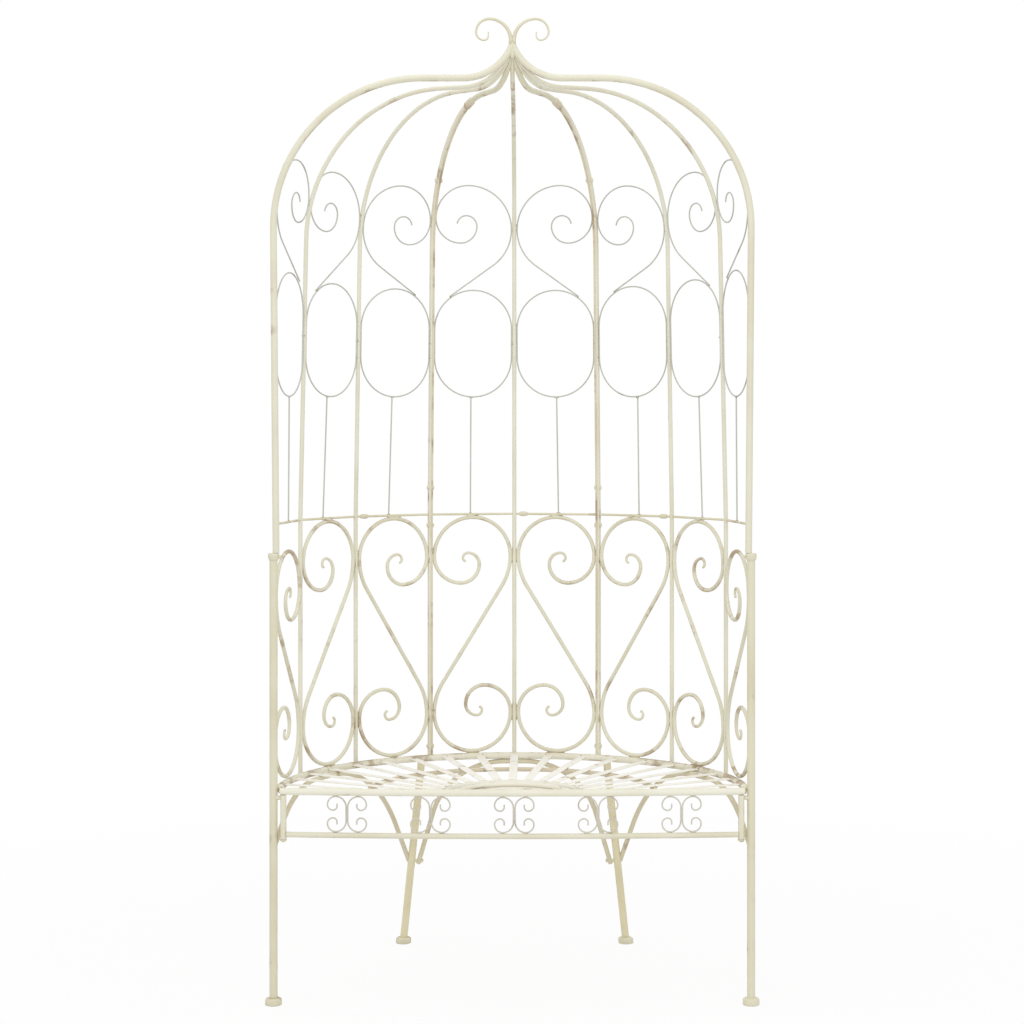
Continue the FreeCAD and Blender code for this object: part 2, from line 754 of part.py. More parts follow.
def joint_bolt_axis(rib, height):
    """Middle of a joint bolt, and the direction across the rib."""
    angle = rib_angle(rib)
    return on_plan(angle, rib_radius(height), height), Vector(-math.sin(angle), math.cos(angle), 0)


def joint_ribs_and_arms():
    """Joint ribs: flat bars of two panels bolted face to face, and above them a block and an arm."""
    bolts = []
    for name, rib in zip(side_names(), joint_ribs):
        angle = rib_angle(rib)
        outward = on_plan(angle, 1, 0)
        path = rib_path(rib)
        foot = path.OrderedVertexes[0].Point
        block_end = crown_arm_start + joint_block_length
        joint = box_beyond(outward * block_end, outward, crown_height)
        across = joint_bolt_axis(rib, rail_height)[1]
        holes = []
        for height in (seat_ring_height + seat_bolt_rise, rail_height - rail_bolt_drop,
                       rail_height + rail_bolt_rise, rib_dome_top - dome_bolt_drop):
            middle, tangent = joint_bolt_axis(rib, height)
            face = tangent * (joint_bar_reach + bolt_play)
            bolts.append(through_bolt(middle - face, middle + face, joint_bolt_diameter,
                                      joint_bolt_head_diameter, joint_bolt_head_height))
            holes.append(pin(middle - face * 2, middle + face * 2, joint_bolt_diameter + 2 * bolt_play))
        for hand, panel in ((1, "front"), (-1, "back")):
            side = across * (hand if rib < bay_count / 2 else -hand)
            near = foot + side * (weld_gap / 2)
            far = near + side * joint_bar_thickness
            half = outward * (joint_bar_depth / 2)
            corners = [near - half, near + half, far + half, far - half]
            section = Part.Face(Part.makePolygon(corners + corners[:1]))
            offset = side * (weld_gap + joint_bar_thickness) * 0.5
            bar_path = path.copy()
            bar_path.translate(offset)
            bar = bar_path.makePipe(section).common(joint)
            for hole in holes:
                bar = bar.cut(hole)
            parts["joint_bar_" + name + "_" + panel] = bar
        arm_room = box_beyond(outward * (crown_arm_start - weld_gap), -outward, crown_height)
        arm = rod(path, crown_arm_diameter).common(arm_room).common(rib_sector(rib))
        block = rod(path, joint_block_diameter)
        block = block.common(box_beyond(outward * crown_arm_start, outward, crown_height))
        block = block.common(box_beyond(outward * (block_end - weld_gap), -outward, crown_height))
        parts["crown_arm_" + name] = Part.makeCompound(arm.Solids + block.Solids)
    parts["joint_bolts"] = Part.makeCompound(bolts)


def back_rail():
    """Straight rail bars from rib to rib, and the ferrules on three of them."""
    for panel, bays in panel_bays().items():
        bars = []
        for bay in bays:
            plane, half_width = bay_plane(bay, rail_height, lean_height, slant_room(rail_diameter))
            bars.append(pin(plane.at(-half_width, 0), plane.at(half_width, 0), rail_diameter))
        parts["rail_bars_" + panel] = Part.makeCompound(bars)
    ferrules = []
    for bay, end in ferrule_places:
        plane, half_width = bay_plane(bay, rail_height, lean_height)
        middle = end * (half_width + rib_diameter / 2 - ferrule_offset)
        bore = rail_diameter / 2 + bolt_play
        half = ferrule_length / 2
        profile = [
            (-half, bore),
            (-half, ferrule_end_diameter / 2),
            (-ferrule_belt / 2, ferrule_diameter / 2),
            (ferrule_belt / 2, ferrule_diameter / 2),
            (half, ferrule_end_diameter / 2),
            (half, bore),
        ]
        corners = [plane.at(middle + along, radius) for along, radius in profile]
        face = Part.Face(Part.makePolygon(corners + corners[:1]))
        ferrules.append(face.revolve(plane.at(middle, 0), plane.side, 360))
    parts["rail_ferrules"] = Part.makeCompound(ferrules)


def lower_scrolls():
    """S-scrolls of the lower back, each between two ribs, the rail and the seat ring."""
    low = seat_ring_height + seat_tube_diameter / 2 + weld_gap
    for bay in range(bay_count):
        high = rail_height - rail_diameter / 2 - weld_gap
        if bay in (0, bay_count - 1):
            high -= front_scroll_drop
        plane, half_width = bay_plane(bay, (low + high) / 2, rail_height)
        plane = mirrored(plane, bay)
        loop = half_width - scroll_diameter / 2
        rise = (high - low - scroll_diameter) / 2 - loop
        offset = lower_shoulder_bend - loop
        slant = math.asin(lower_shoulder_bend / math.hypot(rise, offset)) - math.atan2(offset, rise)
        run = (rise - lower_shoulder_bend * math.sin(slant)) / math.cos(slant)
        moves = [(run, 0), (lower_shoulder_bend, math.degrees(slant)), (loop, 180.0)]
        half = bent_edges(plane, (0, 0), 90.0 - math.degrees(slant), moves + list(lower_curl))
        about = Plane(plane.origin, -plane.side, -plane.rise)
        other = bent_edges(about, (0, 0), 90.0 - math.degrees(slant), moves + list(lower_curl))
        parts["lower_scroll_%d" % (bay + 1)] = rod(in_order(half + other), scroll_diameter)


def oval_frame(bay):
    """Plane of a bay's oval, the radius of its round ends and half of its straight sides."""
    oval_bottom = rail_height + oval_foot_rise
    oval_top = rail_height + oval_top_rises[bay]
    middle_height = (oval_bottom + oval_top) / 2
    plane, half_width = bay_plane(bay, middle_height, oval_top, slant_room(wire_diameter))
    bend = half_width - wire_diameter / 2
    side = (oval_top - oval_bottom - wire_diameter) / 2 - bend
    return plane, bend, side


def ovals_and_stays():
    """Wire ovals between the ribs, and the straight stay wires from each one down to the rail."""
    for panel, bays in panel_bays().items():
        ovals = []
        stays = []
        for bay in bays:
            plane, bend, side = oval_frame(bay)
            moves = [(side, 0), (bend, 180.0), (2 * side, 0), (bend, 180.0), (side, 0)]
            edges = bent_edges(plane, (bend, 0), 90.0, moves)
            ovals.append(rod(in_order(edges), wire_diameter))
            rail_plane = bay_plane(bay, rail_height, lean_height)[0]
            foot = rail_plane.at(stay_feet[bay], rail_diameter / 2 + weld_gap)
            near = max(abs(stay_heads[bay]) - wire_diameter / 2, 0)
            drop = math.sqrt((bend + wire_diameter / 2) ** 2 - near ** 2) + weld_gap
            stays.append(pin(foot, plane.at(stay_heads[bay], -side - drop), wire_diameter))
        parts["ovals_" + panel] = Part.makeCompound(ovals)
        parts["stay_wires_" + panel] = Part.makeCompound(stays)


def upper_scrolls():
    """Wire scrolls above the ovals: a run from the oval's shoulder, a big loop and a curl."""
    for panel, bays in panel_bays().items():
        scrolls = []
        for bay in bays:
            contact_height = rail_height + upper_contact_rises[bay]
            oval_top = rail_height + oval_top_rises[bay]
            plane, half_width = bay_plane(bay, contact_height, oval_top, slant_room(wire_diameter))
            plane = mirrored(Plane(plane.origin, plane.side, -plane.rise), bay)
            loop = half_width - wire_diameter / 2
            oval_plane, oval_bend, oval_side = oval_frame(bay)
            oval_middle = oval_plane.at(0, oval_side) - plane.origin
            x = oval_middle.dot(plane.side)
            y = oval_middle.dot(plane.rise)
            clear = oval_bend + wire_diameter + weld_gap
            away = math.hypot(loop - upper_loop_bend - x, y)
            bearing = math.atan2(-y, loop - upper_loop_bend - x)
            turn = math.asin((clear + upper_loop_bend) / away)
            course = bearing - turn
            start = (x - clear * math.sin(course), y + clear * math.cos(course))
            first = (away * math.cos(turn), 0)
            second = (upper_loop_bend, 180.0 - math.degrees(course))
            third = (2 * loop - upper_loop_bend, 90.0)
            moves = [first, second, third] + list(upper_curl)
            edges = bent_edges(plane, start, math.degrees(course), moves)
            scrolls.append(rod(in_order(edges), wire_diameter))
        parts["upper_scrolls_" + panel] = Part.makeCompound(scrolls)


def crown_curls():
    """Two curls that stand on the crown and roll outwards."""
    curls = []
    for sign in side_names().values():
        plane = Plane(Vector(0, 0, crown_height + weld_gap), Vector(-sign, 0, 0), up)
        start = (-(curl_diameter + weld_gap) / 2, 0)
        moves = [(curl_neck, 0)] + list(curl_bends) + [(curl_tip, 0)]
        edges = bent_edges(plane, start, 90.0, moves)
        curls.append(rod(in_order(edges), curl_diameter))
    parts["crown_curls"] = Part.makeCompound(curls)


def write_parts():
    """Put the origin under the middle of the whole bench and write one file per node."""
    whole = Part.makeCompound(list(parts.values())).optimalBoundingBox(False, False)
    shift = Vector(-whole.Center.x, -whole.Center.y, -whole.ZMin)
    os.makedirs("parts", exist_ok=True)
    for node, shape in parts.items():
        shape.translate(shift)
        shape.exportStep("parts/%s.step" % node)
    print("size", whole.XLength, whole.YLength, whole.ZLength, "shift", shift)


front_posts()
post_collars()
front_arches()
rear_legs()
foot_caps()
seat_frame()
seat_slats()
apron_frame()
apron_scrolls()
brace_arches()
round_ribs()
joint_ribs_and_arms()
back_rail()
lower_scrolls()
ovals_and_stays()
upper_scrolls()
crown_curls()
write_parts()
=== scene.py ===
import heapq
import math
import random

import bmesh
import bpy
from mathutils import Matrix, Vector
from mathutils.bvhtree import BVHTree


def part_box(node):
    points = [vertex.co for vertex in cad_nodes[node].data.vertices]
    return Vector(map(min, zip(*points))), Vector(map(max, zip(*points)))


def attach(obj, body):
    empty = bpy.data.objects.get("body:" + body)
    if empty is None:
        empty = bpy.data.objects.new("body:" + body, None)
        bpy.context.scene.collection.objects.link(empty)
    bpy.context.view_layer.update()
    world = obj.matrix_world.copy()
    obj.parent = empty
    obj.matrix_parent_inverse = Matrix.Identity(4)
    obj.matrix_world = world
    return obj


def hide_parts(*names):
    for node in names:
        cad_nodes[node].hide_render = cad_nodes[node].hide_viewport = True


# The bench stands on the floor, faces -Y and is measured in metres.
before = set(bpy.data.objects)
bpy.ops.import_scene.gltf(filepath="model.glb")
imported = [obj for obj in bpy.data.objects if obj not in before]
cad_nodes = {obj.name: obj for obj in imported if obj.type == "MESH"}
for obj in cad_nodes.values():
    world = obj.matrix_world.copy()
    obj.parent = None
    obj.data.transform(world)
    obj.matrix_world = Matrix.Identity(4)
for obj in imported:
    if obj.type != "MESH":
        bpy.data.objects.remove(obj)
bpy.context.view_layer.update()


# Front posts: two plain iron tubes that carry the front of the seat and the arches.
# Antique cream paint is brushed on along the tube, and rubbed through to its brown ground in
# places.
# Undersides and the sides of a round rod get painted shade: more aged paint and more brown ground
# there.
# Painted shade: the weights below make undersides and rod sides darker and browner.
ground_as_shade_below = 0.07
ground_as_shade_beside = 0.09
rub_edge = 0.14
blotch_weight = 0.7
stroke_weight = 0.3
aged_patches = 0.55
aged_strokes = 0.2
aged_as_shade_below = 0.3
ground_cover = 0.66
stroke_relief = 0.5
pit_relief = 0.08
rubbed_depth = 0.6
paint_roughness = 0.52
ground_roughness = 0.74
rubbed_and_shaded_paint = bpy.data.node_groups.new("rubbed and shaded paint", "ShaderNodeTree")
for name, direction, kind in (
    ("Paint", "INPUT", "NodeSocketColor"),
    ("Aged paint", "INPUT", "NodeSocketColor"),
    ("Ground", "INPUT", "NodeSocketColor"),
    ("Rub level", "INPUT", "NodeSocketFloat"),
    ("Stroke scale", "INPUT", "NodeSocketVector"),
    ("Color", "OUTPUT", "NodeSocketColor"),
    ("Roughness", "OUTPUT", "NodeSocketFloat"),
    ("Height", "OUTPUT", "NodeSocketFloat"),
):
    rubbed_and_shaded_paint.interface.new_socket(name, in_out=direction, socket_type=kind)


def add_node(tree, kind, settings=None, values=None):
    """A new shader node with its own settings and the values of its unlinked inputs."""
    node = tree.nodes.new(kind)
    for name, value in (settings or {}).items():
        setattr(node, name, value)
    for name, value in (values or {}).items():
        node.inputs[name].default_value = value
    return node


def noise(tree, place, scale, detail, roughness):
    """A noise texture read at a place, as its factor output."""
    texture = add_node(tree, "ShaderNodeTexNoise", None,
                       {"Scale": scale, "Detail": detail, "Roughness": roughness})
    tree.links.new(place, texture.inputs["Vector"])
    return texture.outputs["Fac"]


def spread(tree, value, low, high, to_low=0.0, to_high=1.0):
    """A value eased from one range to another."""
    ease = add_node(tree, "ShaderNodeMapRange", {"interpolation_type": "SMOOTHSTEP"},
                    {"To Min": to_low, "To Max": to_high})
    tree.links.new(value, ease.inputs["Value"])
    for name, end in (("From Min", low), ("From Max", high)):
        if isinstance(end, float):
            ease.inputs[name].default_value = end
        else:
            tree.links.new(end, ease.inputs[name])
    return ease.outputs["Result"]


def combine(tree, operation, first, second):
    """Two values, or a value and a number, put together."""
    maths = add_node(tree, "ShaderNodeMath", {"operation": operation})
    for index, term in enumerate((first, second)):
        if isinstance(term, float):
            maths.inputs[index].default_value = term
        else:
            tree.links.new(term, maths.inputs[index])
    return maths.outputs["Value"]


def weigh(tree, value, weight):
    """A value times a number."""
    return combine(tree, "MULTIPLY", value, weight)


def tint(tree, share, under, over):
    """One colour laid over another by a share."""
    mix = add_node(tree, "ShaderNodeMix", {"data_type": "RGBA"})
    tree.links.new(share, mix.inputs["Factor"])
    tree.links.new(under, mix.inputs["A"])
    tree.links.new(over, mix.inputs["B"])
    return next(out for out in mix.outputs if out.type == "RGBA")


given = add_node(rubbed_and_shaded_paint, "NodeGroupInput")
place = add_node(rubbed_and_shaded_paint, "ShaderNodeTexCoord")
along = add_node(rubbed_and_shaded_paint, "ShaderNodeVectorMath", {"operation": "MULTIPLY"})
rubbed_and_shaded_paint.links.new(place.outputs["Object"], along.inputs[0])
rubbed_and_shaded_paint.links.new(given.outputs["Stroke scale"], along.inputs[1])
facing = add_node(rubbed_and_shaded_paint, "ShaderNodeSeparateXYZ")
rubbed_and_shaded_paint.links.new(place.outputs["Normal"], facing.inputs["Vector"])
drift = noise(rubbed_and_shaded_paint, place.outputs["Object"], scale=9.0, detail=3.0, roughness=0.5)
blotch = noise(rubbed_and_shaded_paint, place.outputs["Object"], scale=22.0, detail=3.5, roughness=0.55)
stroke = noise(rubbed_and_shaded_paint, along.outputs["Vector"], scale=1.0, detail=3.0, roughness=0.5)
pits = noise(rubbed_and_shaded_paint, place.outputs["Object"], scale=700.0, detail=3.0, roughness=0.55)
# Painted shade on undersides: more aged paint and more brown ground there.
painted_underside_shade = spread(rubbed_and_shaded_paint, facing.outputs["Z"], low=0.1, high=-0.9)
# Painted shade on the sides of a rod, where its surface turns away from the front: more brown
# ground there.
sideways = combine(rubbed_and_shaded_paint, "ABSOLUTE", facing.outputs["Y"], 0.0)
painted_side_shade = spread(rubbed_and_shaded_paint, sideways, low=0.7, high=0.1)
level = combine(rubbed_and_shaded_paint, "SUBTRACT", given.outputs["Rub level"],
                weigh(rubbed_and_shaded_paint, painted_underside_shade, ground_as_shade_below))
level = combine(rubbed_and_shaded_paint, "SUBTRACT", level, weigh(rubbed_and_shaded_paint, painted_side_shade, ground_as_shade_beside))
rub = combine(rubbed_and_shaded_paint, "ADD", weigh(rubbed_and_shaded_paint, blotch, blotch_weight),
              weigh(rubbed_and_shaded_paint, stroke, stroke_weight))
bare_and_shaded = spread(rubbed_and_shaded_paint, rub, level, combine(rubbed_and_shaded_paint, "ADD", level, rub_edge))
patches = spread(rubbed_and_shaded_paint, drift, low=0.35, high=0.72, to_high=aged_patches)
strokes = spread(rubbed_and_shaded_paint, stroke, low=0.5, high=0.8)
age_and_shade = combine(rubbed_and_shaded_paint, "ADD", patches, weigh(rubbed_and_shaded_paint, strokes, aged_strokes))
age_and_shade = combine(rubbed_and_shaded_paint, "ADD", age_and_shade, weigh(rubbed_and_shaded_paint, painted_underside_shade, aged_as_shade_below))
age_and_shade = combine(rubbed_and_shaded_paint, "MINIMUM", age_and_shade, 1.0)
painted = tint(rubbed_and_shaded_paint, age_and_shade, given.outputs["Paint"], given.outputs["Aged paint"])
color = tint(rubbed_and_shaded_paint, weigh(rubbed_and_shaded_paint, bare_and_shaded, ground_cover), painted,
             given.outputs["Ground"])
roughness = spread(rubbed_and_shaded_paint, bare_and_shaded, low=0.0, high=1.0,
                   to_low=paint_roughness, to_high=ground_roughness)
height = combine(rubbed_and_shaded_paint, "ADD", weigh(rubbed_and_shaded_paint, stroke, stroke_relief),
                 weigh(rubbed_and_shaded_paint, pits, pit_relief))
height = combine(rubbed_and_shaded_paint, "SUBTRACT", height, weigh(rubbed_and_shaded_paint, bare_and_shaded, rubbed_depth))
result = add_node(rubbed_and_shaded_paint, "NodeGroupOutput")
rubbed_and_shaded_paint.links.new(color, result.inputs["Color"])
rubbed_and_shaded_paint.links.new(roughness, result.inputs["Roughness"])
rubbed_and_shaded_paint.links.new(height, result.inputs["Height"])

brush_up = (70, 70, 9)
cream = (0.745, 0.715, 0.545)
aged_cream = (0.64, 0.595, 0.42)
brown_ground = (0.34, 0.22, 0.12)


def painted_iron(name, brush, paint, aged, rub_level, ground=brown_ground):
    """A paint on iron, with its own colours and brush direction. A lower level rubs more of it. Its
    aged and ground colours also give painted shade on undersides and rod sides.
    """
    material = bpy.data.materials.new(name)
    material.use_nodes = True
    tree = material.node_tree
    shader = tree.nodes["Principled BSDF"]
    finish = add_node(tree, "ShaderNodeGroup", {"node_tree": rubbed_and_shaded_paint},
                      {"Paint": (*paint, 1), "Aged paint": (*aged, 1), "Ground": (*ground, 1),
                       "Rub level": rub_level, "Stroke scale": brush})
    relief = add_node(tree, "ShaderNodeBump", None, {"Strength": 0.05, "Distance": 0.0006})
    tree.links.new(finish.outputs["Color"], shader.inputs["Base Color"])
    tree.links.new(finish.outputs["Roughness"], shader.inputs["Roughness"])
    tree.links.new(finish.outputs["Height"], relief.inputs["Height"])
    tree.links.new(relief.outputs["Normal"], shader.inputs["Normal"])
    return material


def coat(material, *names):
    """Gives a finish to CAD nodes."""
    for name in names:
        cad_nodes[name].material_slots[0].material = material


post_paint = painted_iron("post_paint", brush_up, cream, aged_cream, rub_level=0.61)
coat(post_paint, "front_post_left", "front_post_right")


# Foot caps: plain round iron feet under the four legs, turned with rounded edges.
# They have the cream of the posts, and the rear ones lean with their splayed legs.
brush_round = (45, 45, 45)
cage_radius = 0.471
cage_depth = -0.27275
rear_foot = (0.245, 0.29125)
rear_lean = (-0.1105, -0.3274)
cap_places = {"foot_caps_front": ((cage_radius, cage_depth), (0.0, 0.0)),
              "foot_caps_rear": (rear_foot, rear_lean)}
cap_outline = ((0.0, 0.0), (0.0150, 0.0), (0.0161, 0.0005), (0.0165, 0.0016), (0.0165, 0.0098),
               (0.0160, 0.0115), (0.0150, 0.0128), (0.0137, 0.0137), (0.0122, 0.0142),
               (0.0, 0.0150))
cap_steps = 40
merge_gap = 1e-6


def turn_on_lathe(shape, outline, steps, placing):
    """Adds a solid turned about Z, from its radii and heights, and puts it in its place."""
    before = set(shape.verts)
    points = [shape.verts.new((radius, 0, rise)) for radius, rise in outline]
    edges = [shape.edges.new(pair) for pair in zip(points, points[1:])]
    bmesh.ops.spin(shape, geom=points + edges, axis=(0, 0, 1), cent=(0, 0, 0), angle=math.tau,
                   steps=steps, use_merge=True)
    turned = [vertex for vertex in shape.verts if vertex not in before]
    bmesh.ops.transform(shape, matrix=placing, verts=turned)
    bmesh.ops.remove_doubles(shape, verts=shape.verts, dist=merge_gap)
    bmesh.ops.recalc_face_normals(shape, faces=shape.faces)


def add_piece(name, shape, material, slot, *replaced):
    """Makes a piece of the bench from a finished shape, in place of any CAD nodes it replaces."""
    mesh = bpy.data.meshes.new(name)
    shape.to_mesh(mesh)
    shape.free()
    for face in mesh.polygons:
        face.use_smooth = True
    mesh.materials.append(material)
    piece = bpy.data.objects.new(name, mesh)
    bpy.context.scene.collection.objects.link(piece)
    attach(piece, "root")
    if replaced:
        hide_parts(*replaced)


fitting_paint = painted_iron("fitting_paint", brush_round, cream, aged_cream, rub_level=0.60)
for node, ((across, depth), (lean_across, lean_depth)) in cap_places.items():
    caps = bmesh.new()
    for side in (-1, 1):
        placing = Matrix.Translation((side * across, depth, 0))
        placing[0][2], placing[1][2] = side * lean_across, lean_depth
        turn_on_lathe(caps, cap_outline, cap_steps, placing)
    add_piece("turned_" + node, caps, fitting_paint, "fitting_paint", node)


# Post collars: caps on the tops of the posts that carry the feet of the arches.
# Turned iron in cream, wider at the top and rounded, each held by one bolt.
collar_outline = ((0.0, 0.0002), (0.0081, 0.0002), (0.0081, -0.0110), (0.0089, -0.0110),
                  (0.0097, -0.0098), (0.0105, -0.0062), (0.0109, -0.0034), (0.0110, -0.0004),
                  (0.0106, 0.0014), (0.0094, 0.0026), (0.0, 0.0030))
collar_steps = 40
post_height = 0.888
collars = bmesh.new()
for side in (-1, 1):
    placing = Matrix.Translation((side * cage_radius, cage_depth, post_height))
    turn_on_lathe(collars, collar_outline, collar_steps, placing)
add_piece("turned_post_collars", collars, fitting_paint, "fitting_paint", "post_collars")
coat(fitting_paint, "collar_bolts")


# Front arches: bent tubes that stand in the collars and reach over to the crown.
# Brushed in a lighter cream than the posts.
arch_paint = painted_iron("arch_paint", brush_up, paint=(0.765, 0.745, 0.60),
                          aged=(0.67, 0.63, 0.48), rub_level=0.61)
coat(arch_paint, "front_arch_left", "front_arch_right")


# Rear legs: two splayed tubes, cut level and welded under the back of the seat ring.
# Brushed in a deeper, yellower cream than the posts.
leg_paint = painted_iron("leg_paint", brush_up, paint=(0.80, 0.745, 0.51),
                         aged=(0.69, 0.61, 0.40), rub_level=0.62)
coat(leg_paint, "rear_leg_left", "rear_leg_right")


# Seat frame: an outer half ring, a mid ring, two small inner rings, a front bar and a plate.
# Bent tube and rod in cream. The outer ring is rubbed the most, and its brown partly stands in as
# painted shade; the mid ring under the slats has a darker tan paint as painted shade.
# Weld closes the ends of the front bar, the outer ring and the rear legs.
brush_across = (9, 70, 70)
ring_paint = painted_iron("ring_paint", brush_round, paint=(0.81, 0.785, 0.655),
                          aged=(0.72, 0.68, 0.53), rub_level=0.53, ground=(0.34, 0.23, 0.13))
inner_ring_paint = painted_iron("inner_ring_paint", brush_round, paint=(0.87, 0.85, 0.75),
                                aged=(0.79, 0.75, 0.62), rub_level=0.64)
# Painted shade: the mid ring lies under the slats and gets a darker tan paint.
mid_ring_paint = painted_iron("mid_ring_paint", brush_round, paint=(0.67, 0.60, 0.45),
                              aged=(0.58, 0.50, 0.36), rub_level=0.54)
front_bar_paint = painted_iron("front_bar_paint", brush_across, paint=(0.85, 0.83, 0.71),
                               aged=(0.77, 0.74, 0.60), rub_level=0.64)
coat(ring_paint, "seat_outer_ring")
coat(mid_ring_paint, "seat_mid_ring")
coat(inner_ring_paint, "seat_inner_ring", "seat_inner_arc", "seat_centre_plate")
coat(front_bar_paint, "seat_front_bar")
same_facing = 0.999
widest_end = 0.016


def rod_ends(name):
    """Centre, outward direction and radius of each flat end of the rods in a node."""
    mesh = cad_nodes[name].data
    discs = []
    for face in mesh.polygons:
        if face.use_smooth:
            continue
        near = next((disc for disc in discs if disc[0].normal.dot(face.normal) > same_facing
                     and (disc[0].center - face.center).length < widest_end), None)
        if near is None:
            discs.append([face])
        else:
            near.append(face)
    ends = []
    for disc in discs:
        rim = [mesh.vertices[index].co for face in disc for index in face.vertices]
        low = Vector([min(place[i] for place in rim) for i in range(3)])
        high = Vector([max(place[i] for place in rim) for i in range(3)])
        middle = (low + high) / 2
        radius = max((place - middle).length for place in rim)
        ends.append((middle, disc[0].normal.copy(), radius))
    return ends


def add_tips(name, node, material, slot, reach, share=1.0):
    """Rounded tips on the ends of a node's rods. Their radius is a share of the rod's."""
    tips = bmesh.new()
    for middle, outward, radius in rod_ends(node):
        turn = outward.to_track_quat("Z", "Y").to_matrix().to_4x4()
        tip = bmesh.ops.create_uvsphere(tips, u_segments=20, v_segments=12, radius=radius * share)
        placing = Matrix.Translation(middle) @ turn @ Matrix.Diagonal((1, 1, reach, 1))
        bmesh.ops.transform(tips, matrix=placing, verts=tip["verts"])
    add_piece(name, tips, material, slot)


add_tips("front_bar_end_welds", "seat_front_bar", front_bar_paint, "seat_paint", reach=0.25)
add_tips("ring_end_welds", "seat_outer_ring", ring_paint, "seat_paint", reach=0.25)
add_tips("left_leg_end_welds", "rear_leg_left", leg_paint, "seat_paint", reach=0.2)
add_tips("right_leg_end_welds", "rear_leg_right", leg_paint, "seat_paint", reach=0.2)


# Seat slats: nineteen flat bars that fan out over the mid ring to the inner side of the outer ring.
# Cut from thin bar with softened edges, in the palest cream, which is partly painted light from
# above, and welded to the rings.
slat_paint = painted_iron("slat_paint", brush_round, paint=(0.95, 0.93, 0.855),
                          aged=(0.885, 0.845, 0.745), rub_level=0.66)
slat_edge = 0.0006
flat_angle = math.radians(1)


def merged_copy(*names):
    """A copy of the surfaces of CAD nodes with their doubled vertices merged."""
    shape = bmesh.new()
    for name in names:
        shape.from_mesh(cad_nodes[name].data)
    bmesh.ops.remove_doubles(shape, verts=shape.verts, dist=merge_gap)
    return shape


slats = merged_copy("seat_slats")
bmesh.ops.dissolve_limit(slats, angle_limit=flat_angle, verts=slats.verts, edges=slats.edges)
bmesh.ops.bevel(slats, geom=slats.edges[:], offset=slat_edge, segments=2, profile=0.5,
                affect="EDGES", material=-1, clamp_overlap=True)
bmesh.ops.recalc_face_normals(slats, faces=slats.faces)
add_piece("softened_seat_slats", slats, slat_paint, "seat_paint", "seat_slats")


# Weld beads: small uneven lumps of weld metal where two rods touch, painted and rubbed brown.
# Each one sits in the groove between its two rods.
weld_paint = painted_iron("weld_paint", brush_round, paint=(0.57, 0.49, 0.34),
                          aged=(0.47, 0.38, 0.24), rub_level=0.50, ground=(0.28, 0.18, 0.10))
touch_gap = 0.0007
bead_spacing = 0.012
shortest_run = 1e-5
length_range = (0.8, 1.2)
width_range = (0.85, 1.15)
lump_range = (0.9, 1.1)
surfaces = {}


def surface_of(name):
    """A search tree over the faces of a CAD node."""
    if name not in surfaces:
        mesh = cad_nodes[name].data
        surfaces[name] = BVHTree.FromPolygons([vertex.co for vertex in mesh.vertices],
                                              [face.vertices for face in mesh.polygons])
    return surfaces[name]


def touching_runs(name, others):
    """Groups of points where a node's own vertices lie against other nodes."""
    runs = []
    for other in others:
        low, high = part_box(other)
        for vertex in cad_nodes[name].data.vertices:
            place = vertex.co
            if any(place[i] < low[i] - touch_gap or place[i] > high[i] + touch_gap
                   for i in range(3)):
                continue
            hit = surface_of(other).find_nearest(place, touch_gap)[0]
            if hit is None:
                continue
            spot = (place + hit) / 2
            near = next((run for run in runs if (run[0] - spot).length < bead_spacing), None)
            if near is None:
                runs.append([spot])
            else:
                near.append(spot)
    return runs


def add_beads(name, runs, material, slot, length, width, at_ends=False):
    """One lump of weld for each run of touching points, or one at each end of the run."""
    chance = random.Random(name)
    beads = bmesh.new()
    for run in runs:
        middle = sum(run, Vector()) / len(run)
        far = max(run, key=lambda spot: (spot - middle).length)
        other = max(run, key=lambda spot: (spot - far).length)
        direction = other - far
        if direction.length < shortest_run:
            direction = Vector((0, 0, 1))
        for spot in ((far, other) if at_ends else (middle,)):
            turn = direction.to_track_quat("X", "Z").to_matrix().to_4x4()
            size = Matrix.Diagonal((length * chance.uniform(*length_range),
                                    width * chance.uniform(*width_range),
                                    width * chance.uniform(*width_range), 1))
            lump = bmesh.ops.create_icosphere(beads, subdivisions=2, radius=1,
                                              matrix=Matrix.Translation(spot) @ turn @ size)
            for vertex in lump["verts"]:
                vertex.co = spot + (vertex.co - spot) * chance.uniform(*lump_range)
    add_piece(name, beads, material, slot)


ring_runs = []
for ring in ("seat_outer_ring", "seat_mid_ring"):
    ring_runs += touching_runs(ring, ("seat_slats",))
add_beads("slat_weld_beads", ring_runs, weld_paint, "seat_paint",
          length=0.0030, width=0.0020, at_ends=True)
ring_end_runs = touching_runs("seat_outer_ring",
                              ("front_post_left", "front_post_right", "seat_front_bar"))
add_beads("ring_end_beads", ring_end_runs, weld_paint, "seat_paint", length=0.0070, width=0.0066)


# Apron: a bowed lower rail under the front bar, and two uprights with end caps.
# Plain rod and tube in brushed cream, tied to the posts by lugs.
apron_paint = painted_iron("apron_paint", brush_across, paint=(0.77, 0.745, 0.60),
                           aged=(0.67, 0.63, 0.475), rub_level=0.63)
upright_paint = painted_iron("upright_paint", brush_up, paint=(0.79, 0.76, 0.61),
                             aged=(0.70, 0.64, 0.48), rub_level=0.60)
coat(apron_paint, "apron_lower_rail")
coat(upright_paint, "apron_uprights")
coat(fitting_paint, "upright_end_caps", "apron_lugs")


